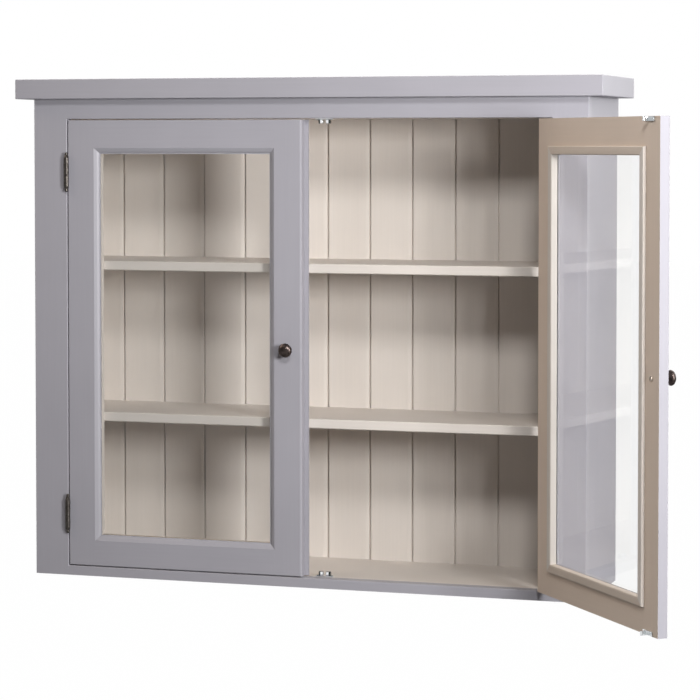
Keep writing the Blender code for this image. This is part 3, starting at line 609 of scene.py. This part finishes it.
def moulding_profile():
    """A shallow bevel, a round that steepens and a flat fillet at the glass, as (inset, depth)."""
    start, end = (math.radians(slope) for slope in MOULDING_SLOPES)
    near = (MOULDING_BEVEL_WIDTH, MOULDING_STEP + MOULDING_BEVEL_WIDTH * math.tan(start))
    far = (MOULDING_WIDTH - MOULDING_FILLET_WIDTH, MOULDING_FILLET_DEPTH)
    profile = [(-JOINT_OVERLAP, GLASS_DEPTH - UNDER_FACE), (-JOINT_OVERLAP, MOULDING_STEP)]
    profile.append((0.0, MOULDING_STEP))
    for step in range(MOULDING_ROUND_STEPS + 1):
        slope = start + (end - start) * step / MOULDING_ROUND_STEPS
        across = (math.sin(slope) - math.sin(start)) / (math.sin(end) - math.sin(start))
        fall = (math.cos(start) - math.cos(slope)) / (math.cos(start) - math.cos(end))
        profile.append((near[0] + (far[0] - near[0]) * across, near[1] + (far[1] - near[1]) * fall))
    profile.append((MOULDING_WIDTH, MOULDING_FILLET_DEPTH + MOULDING_FILLET_FALL))
    profile.append((MOULDING_WIDTH, GLASS_DEPTH - UNDER_FACE))
    return profile


def mitred_sections(profile, place):
    """A profile at the glazing's four corners, starting low on the hinge side and going along the bottom."""
    corners = ((glazing_near, glazing_bottom, 1, 1), (glazing_far, glazing_bottom, -1, 1),
               (glazing_far, glazing_top, -1, -1), (glazing_near, glazing_top, 1, -1))
    sections = []
    for u, z, across, up in corners:
        sections.append([place(u + across * inset, depth, z + up * inset) for inset, depth in profile])
    return sections


def bead_profile():
    """A bead with small rounds that stands proud of the door's back, as (inset, depth)."""
    low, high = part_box("left_door_top_bead")
    lap = glazing_top - high.z
    width = glazing_top - low.z
    glass_side = low.y - front
    back = high.y - front
    seat = door_thickness + UNDER_FACE
    profile = [(UNDER_FACE, seat), (UNDER_FACE, glass_side), (width, glass_side)]
    for centre, radius, first in ((width, BEAD_INNER_ROUND, 0), (lap, BEAD_OUTER_ROUND, 90)):
        shift = radius if first else -radius
        for step in range(BEAD_STEPS + 1):
            angle = math.radians(first + 90 * step / BEAD_STEPS)
            inset = centre + shift + radius * math.cos(angle)
            profile.append((inset, back - radius + radius * math.sin(angle)))
    profile.append((lap, seat))
    return profile


def make_beads(word, place, turn):
    """The four mitred beads behind the glass; the level beads take a darker copy of the cream as painted
    shade.
    """
    prefix = word + "_door_"
    # Level beads: a darker cream that is painted shade; upright beads: the plain cream of the inside
    level = painted_wood(prefix + "bead_paint", LEVEL_BEAD_SHADE, "x", turn)
    upright = painted_wood(prefix + "side_bead_paint", CREAM, "z", turn)
    sections = mitred_sections(bead_profile(), place)
    sides = (("bottom_bead", level), ("lock_side_bead", upright),
             ("top_bead", level), ("hinge_side_bead", upright))
    for index, (side, material) in enumerate(sides):
        bm = bmesh.new()
        add_loft(bm, [sections[index], sections[(index + 1) % len(sides)]])
        add_piece(prefix + "rounded_" + side, bm, material, word + "_door", "cream_paint", prefix + side)


def make_moulding(word, place, turn):
    """The mitred round in front of the glass."""
    bm = bmesh.new()
    add_closed_loft(bm, mitred_sections(moulding_profile(), place))
    name = word + "_door_front_moulding"
    material = painted_wood(word + "_moulding_paint", GREY, "z", turn, shine=SATIN)
    add_piece(word + "_door_round_moulding", bm, material, word + "_door", "grey_paint", name,
              smooth_angle=MOULDING_SMOOTH_ANGLE)


def make_knob(word, place, material):
    """A turned knob with a hammered face, and its slotted screw at the back."""
    low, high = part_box("left_door_knob")
    u = (low.x + high.x) / 2 + hinge_x
    z = (low.z + high.z) / 2
    outward = place(0.0, -1.0, 0.0) - place(0.0, 0.0, 0.0)
    matrix = pointing(place(u, high.y - front, z), outward)
    bm = bmesh.new()
    add_loft(bm, [ring(radius, height, matrix) for radius, height in KNOB_PROFILE])
    add_piece(word + "_door_turned_knob", bm, material, word + "_door", "bronze", word + "_door_knob")
    steel = metal(word + "_screw_steel", STEEL_DULL, STEEL_BRIGHT, roughness=(0.42, 0.25), scale=300.0)
    bm = bmesh.new()
    back = place(u, door_thickness, z)
    add_screw_head(bm, back, -outward, KNOB_SCREW_RADIUS, KNOB_SCREW_HEIGHT)
    add_piece(word + "_door_slotted_screw", bm, steel, word + "_door", "steel", word + "_door_knob_screw")


def add_knuckles(bm, place, middle, parity):
    """Every second knuckle of a hinge, with eased rims."""
    step = HINGE_HEIGHT / KNUCKLE_COUNT
    bottom = middle - HINGE_HEIGHT / 2
    for index in range(parity, KNUCKLE_COUNT, 2):
        low = bottom + step * index + JOINT_GAP / 2
        high = low + step - JOINT_GAP
        matrix = Matrix.Translation(place(0.0, hinge_y - front, 0.0))
        sections = ((BORE_RADIUS, low), (BARREL_RADIUS - KNUCKLE_EASING, low),
                    (BARREL_RADIUS, low + KNUCKLE_EASING), (BARREL_RADIUS, high - KNUCKLE_EASING),
                    (BARREL_RADIUS - KNUCKLE_EASING, high), (BORE_RADIUS, high))
        add_closed_loft(bm, [ring(radius, z, matrix) for radius, z in sections])


def make_leaf(name, body, place, toward, middle, parity, material):
    """A leaf in a stile's edge, with its knuckles; toward is 1 for the door's leaf and -1 for the frame's."""
    bm = bmesh.new()
    near = toward * LEAF_SPACE / 2
    far = near + toward * LEAF_THICKNESS
    half = HINGE_HEIGHT / 2
    add_box(bm, (near, 0.0, middle - half), (far, LEAF_DEPTH, middle + half), place)
    step = HINGE_HEIGHT / KNUCKLE_COUNT
    tab = hinge_y - front + (BORE_RADIUS + BARREL_RADIUS) / 2
    for index in range(parity, KNUCKLE_COUNT, 2):
        low = middle - half + step * index + JOINT_GAP
        add_box(bm, (near, tab, low), (far, 0.0, low + step - 2 * JOINT_GAP), place)
    add_knuckles(bm, place, middle, parity)
    inward = place(-toward, 0.0, 0.0) - place(0.0, 0.0, 0.0)
    for index in (-1, 0, 1):
        depth = LEAF_DEPTH / 2 + LEAF_SCREW_STAGGER * (1 - 2 * abs(index))
        centre = place(near, depth, middle + index * LEAF_SCREW_STEP)
        add_screw_head(bm, centre, inward, LEAF_SCREW_RADIUS, LEAF_SPACE * LEAF_SCREW_RISE)
    add_piece(name + "_with_screws", bm, material, body, "bronze", name)


def make_pin(name, material):
    """A hinge pin with turned tips above and below the barrel."""
    low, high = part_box(name)
    centre = (low + high) / 2
    half = HINGE_HEIGHT / 2 + JOINT_GAP
    reach = (high.z - low.z) / 2
    tip = [(radius, half + height) for radius, height in PIN_FOOT]
    tip += [(radius, reach + height) for radius, height in PIN_POINT]
    profile = [(radius, -height) for radius, height in reversed(tip)] + tip
    bm = bmesh.new()
    matrix = Matrix.Translation(centre)
    add_loft(bm, [ring(radius, height, matrix) for radius, height in profile])
    add_piece(name + "_turned", bm, material, "cabinet", "bronze", name)


def make_hinges(word, side, turn, material):
    """A door's two hinges; the frame's leaves stay with the cabinet, and the door's leaves turn."""
    closed = door_place(side, 0.0)
    swung = door_place(side, turn)
    for level in ("lower", "upper"):
        prefix = word + "_" + level
        low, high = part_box(prefix + "_hinge_pin")
        middle = (low.z + high.z) / 2
        make_leaf(prefix + "_frame_leaf", "cabinet", closed, -1, middle, 0, material)
        make_leaf(prefix + "_door_leaf", word + "_door", swung, 1, middle, 1, material)
        make_pin(prefix + "_hinge_pin", material)


def housing_ring(x, share, matrix, inset=0.0):
    """A round-topped section of a catch's housing; share shrinks it about its axis."""
    half = CATCH_HALF_WIDTH * share - inset
    drop = CATCH_AXIS - CATCH_PLATE + UNDER_FACE
    points = []
    for index in range(TURNED_SEGMENTS):
        angle = 2 * math.pi * index / TURNED_SEGMENTS
        reach = half
        if angle > math.pi:
            reach = drop / abs(math.sin(angle))
            if half < reach * abs(math.cos(angle)):
                reach = half / abs(math.cos(angle))
        points.append(matrix @ Vector((x, reach * math.cos(angle), CATCH_AXIS + reach * math.sin(angle))))
    return points


def bore_ring(x, matrix):
    """A circle of points in a catch's bore."""
    points = []
    for index in range(TURNED_SEGMENTS):
        angle = 2 * math.pi * index / TURNED_SEGMENTS
        across = CATCH_BORE_RADIUS * math.cos(angle)
        points.append(matrix @ Vector((x, across, CATCH_AXIS + CATCH_BORE_RADIUS * math.sin(angle))))
    return points


def make_catch_housing(name, matrix, bright, dark):
    """A plate with two bored collars that face each other, and a darker nut behind each."""
    low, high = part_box(name)
    half_length = (high.x - low.x) / 2
    half_width = (high.y - low.y) / 2
    bm = bmesh.new()
    plate = []
    for inset, height in ((0.0, 0.0), (0.0, CATCH_PLATE - CATCH_EASING), (CATCH_EASING, CATCH_PLATE)):
        across = half_width - inset
        along = half_length - inset
        corners = [(along, across), (-along, across), (-along, -across), (along, -across)]
        plate.append([matrix @ Vector((x, y, height)) for x, y in corners])
    add_loft(bm, plate)
    nuts = bmesh.new()
    for side in (-1, 1):
        start, end = CATCH_COLLAR
        bore_end = min(start + CATCH_BORE_DEPTH, end - CATCH_EASING)
        rings = [bore_ring(side * bore_end, matrix), bore_ring(side * start, matrix)]
        for x, inset in ((start, CATCH_EASING), (start + CATCH_EASING, 0.0), (end - CATCH_EASING, 0.0),
                         (end, CATCH_EASING)):
            rings.append(housing_ring(side * x, 1.0, matrix, inset))
        add_loft(bm, rings)
        start, end = CATCH_NUT
        rings = []
        for x, inset in ((CATCH_COLLAR[1] - UNDER_FACE, 2 * CATCH_EASING), (start, 2 * CATCH_EASING),
                         (start, CATCH_EASING), (start + CATCH_EASING, 0.0), (end - CATCH_EASING, 0.0),
                         (end, CATCH_EASING)):
            rings.append(housing_ring(side * x, CATCH_NUT_SHARE, matrix, inset))
        add_loft(nuts, rings)
        centre = matrix @ Vector((side * CATCH_SCREW_REACH, 0.0, CATCH_PLATE))
        upward = matrix.to_3x3() @ Vector((0.0, 0.0, 1.0))
        add_screw_head(nuts, centre, upward, CATCH_SCREW_RADIUS, CATCH_SCREW_HEIGHT)
    add_piece(name + "_housing", bm, bright, "cabinet", "chrome", name)
    add_piece(name + "_nuts_and_screws", nuts, dark, "cabinet", "chrome")


def make_catches(material):
    """Both catches, with their polished balls."""
    dark = metal("catch_nut_steel", NUT_DARK, NUT_WORN, roughness=(0.30, 0.16), scale=260.0)
    for name, up in (("upper_catch", -1), ("lower_catch", 1)):
        low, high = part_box(name)
        middle = (low + high) / 2
        matrix = Matrix.Translation((middle.x, middle.y, low.z if up > 0 else high.z))
        if up < 0:
            matrix = matrix @ Matrix.Rotation(math.pi, 4, 'X')
        make_catch_housing(name, matrix, material, dark)
        for word in ("left", "right"):
            ball = name + "_" + word + "_ball"
            low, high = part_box(ball)
            bm = bmesh.new()
            matrix = Matrix.Translation((low + high) / 2)
            radius = (high.x - low.x) / 2
            around, along = BALL_SEGMENTS
            bmesh.ops.create_uvsphere(bm, u_segments=around, v_segments=along, radius=radius, matrix=matrix)
            body = ball.replace("catch_", "")
            add_piece(ball + "_polished", bm, material, body, "chrome", ball)


def make_strike_screws(place, material):
    """The screws that hold both strikes to the right door's back."""
    behind = place(0.0, 1.0, 0.0) - place(0.0, 0.0, 0.0)
    middle_u = hinge_x - (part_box("upper_catch")[0].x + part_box("upper_catch")[1].x) / 2
    depth = door_thickness + JOINT_GAP + STRIKE_PLATE
    bm = bmesh.new()
    for level in ("upper", "lower"):
        low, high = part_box("right_door_" + level + "_strike")
        for side in (-1, 1):
            centre = place(middle_u + side * STRIKE_SCREW_REACH, depth, (low.z + high.z) / 2)
            add_screw_head(bm, centre, behind, STRIKE_SCREW_RADIUS, STRIKE_SCREW_HEIGHT)
    add_piece("right_door_strike_screws", bm, material, "right_door", "chrome")


def make_door_details(word, side, turn):
    """A door's paint and finer pieces; turn is how far it stands open at rest."""
    place = door_place(side, turn)
    stile_paint_shaded_back = paint_door(word, turn)
    fill_door_joints(word, place, stile_paint_shaded_back)
    make_moulding(word, place, turn)
    make_beads(word, place, turn)
    hammered = metal(word + "_knob_bronze", BRONZE_DARK, BRONZE_WORN, roughness=(0.42, 0.26), scale=160.0,
                     dents=(330.0, 0.0006))
    make_knob(word, place, hammered)
    pewter = metal(word + "_hinge_bronze", PEWTER_DARK, PEWTER_WORN, roughness=(0.48, 0.34), scale=220.0)
    make_hinges(word, side, turn, pewter)


def make_metalwork():
    """The catches on the cabinet and the strikes on the right door."""
    chrome = metal("catch_chrome", CHROME_DULL, CHROME_BRIGHT, roughness=(0.003, 0.000), scale=240.0)
    make_catches(chrome)
    pressed = metal("strike_chrome", STRIKE_DULL, STRIKE_BRIGHT, roughness=(0.003, 0.000), scale=240.0,
                    dents=(260.0, 0.0006))
    paint(pressed, "right_door_upper_strike", "right_door_lower_strike")
    make_strike_screws(door_place(1, RIGHT_DOOR_TURN), pressed)


# Studio

def add_lamp(name, place, size, power, colour=(1.0, 1.0, 1.0)):
    """A soft box that looks at the cabinet."""
    data = bpy.data.lights.new(name, 'AREA')
    data.shape = 'RECTANGLE'
    data.size, data.size_y = size
    data.energy = power
    data.color = colour
    data.spread = LAMP_SPREAD
    lamp = bpy.data.objects.new(name, data)
    bpy.context.scene.collection.objects.link(lamp)
    lamp.location = place
    lamp.rotation_mode = 'QUATERNION'
    lamp.rotation_quaternion = (Vector(LAMP_AIM) - Vector(place)).to_track_quat('-Z', 'Y')


def add_camera():
    """The camera that was fitted to the photograph."""
    data = bpy.data.cameras.new("camera")
    data.lens = CAMERA_LENS
    data.sensor_width = CAMERA_SENSOR
    data.shift_y = CAMERA_SHIFT
    data.clip_end = CAMERA_REACH
    camera = bpy.data.objects.new("camera", data)
    camera.location = CAMERA_PLACE
    camera.rotation_euler = (math.pi / 2 - CAMERA_PITCH, 0.0, CAMERA_YAW)
    bpy.context.scene.collection.objects.link(camera)
    bpy.context.scene.camera = camera


def add_floor():
    """A studio floor that shows as white and sends back a little of the lamps' light."""
    mesh = bpy.data.meshes.new("studio_floor")
    half = FLOOR_HALF
    corners = [(-half, -half, 0.0), (half, -half, 0.0), (half, half, 0.0), (-half, half, 0.0)]
    mesh.from_pydata(corners, [], [(0, 1, 2, 3)])
    floor = bpy.data.objects.new("studio_floor", mesh)
    floor.location = (0.0, 0.0, FLOOR_LEVEL)
    bpy.context.scene.collection.objects.link(floor)
    recipe = Recipe("studio_white")
    recipe.shader.inputs["Base Color"].default_value = (*FLOOR_COLOUR, 1.0)
    recipe.shader.inputs["Roughness"].default_value = FLOOR_ROUGHNESS
    glow = recipe.add("ShaderNodeEmission")
    white_share = recipe.math('MULTIPLY', recipe.sees_white(), FLOOR_GLOW)
    recipe.blend_shaders(recipe.output, white_share, recipe.shader.outputs["BSDF"], glow.outputs["Emission"])
    mesh.materials.append(recipe.material)


def light_world():
    """A lit backdrop behind the object in a dark room; the camera, glass and polished metal see white."""
    world = bpy.data.worlds.new("studio")
    world.use_nodes = True
    studio = Nodes(world.node_tree)
    split = studio.add("ShaderNodeSeparateXYZ")
    studio.feed(split.inputs["Vector"], studio.coordinates.outputs["Generated"])
    edge = (-BACKDROP_EDGE, BACKDROP_EDGE)
    glow = studio.spread(split.outputs["Y"], ROOM_GLOW, BACKDROP_GLOW, *edge)
    soft = studio.tree.nodes["Background"]
    soft.inputs["Color"].default_value = (1.0, 1.0, 1.0, 1.0)
    studio.feed(soft.inputs["Strength"], glow)
    white = studio.add("ShaderNodeBackground")
    white.inputs["Color"].default_value = (1.0, 1.0, 1.0, 1.0)
    white.inputs["Strength"].default_value = 1.0
    output = studio.tree.nodes["World Output"]
    studio.blend_shaders(output, studio.sees_white(), soft.outputs["Background"], white.outputs["Background"])
    bpy.context.scene.world = world


paint_cabinet()
make_back_boards()
fill_frame_joints()
make_door_details("left", -1, 0.0)
make_door_details("right", 1, RIGHT_DOOR_TURN)
make_metalwork()
add_camera()
add_floor()
add_lamp("key_lamp", KEY_PLACE, LAMP_SIZE, KEY_POWER)
add_lamp("front_lamp", FRONT_PLACE, LAMP_SIZE, FRONT_POWER)
add_lamp("fill_lamp", FILL_PLACE, FILL_SIZE, FILL_POWER, FILL_COLOUR)
light_world()
bpy.context.scene.view_settings.view_transform = 'Standard'
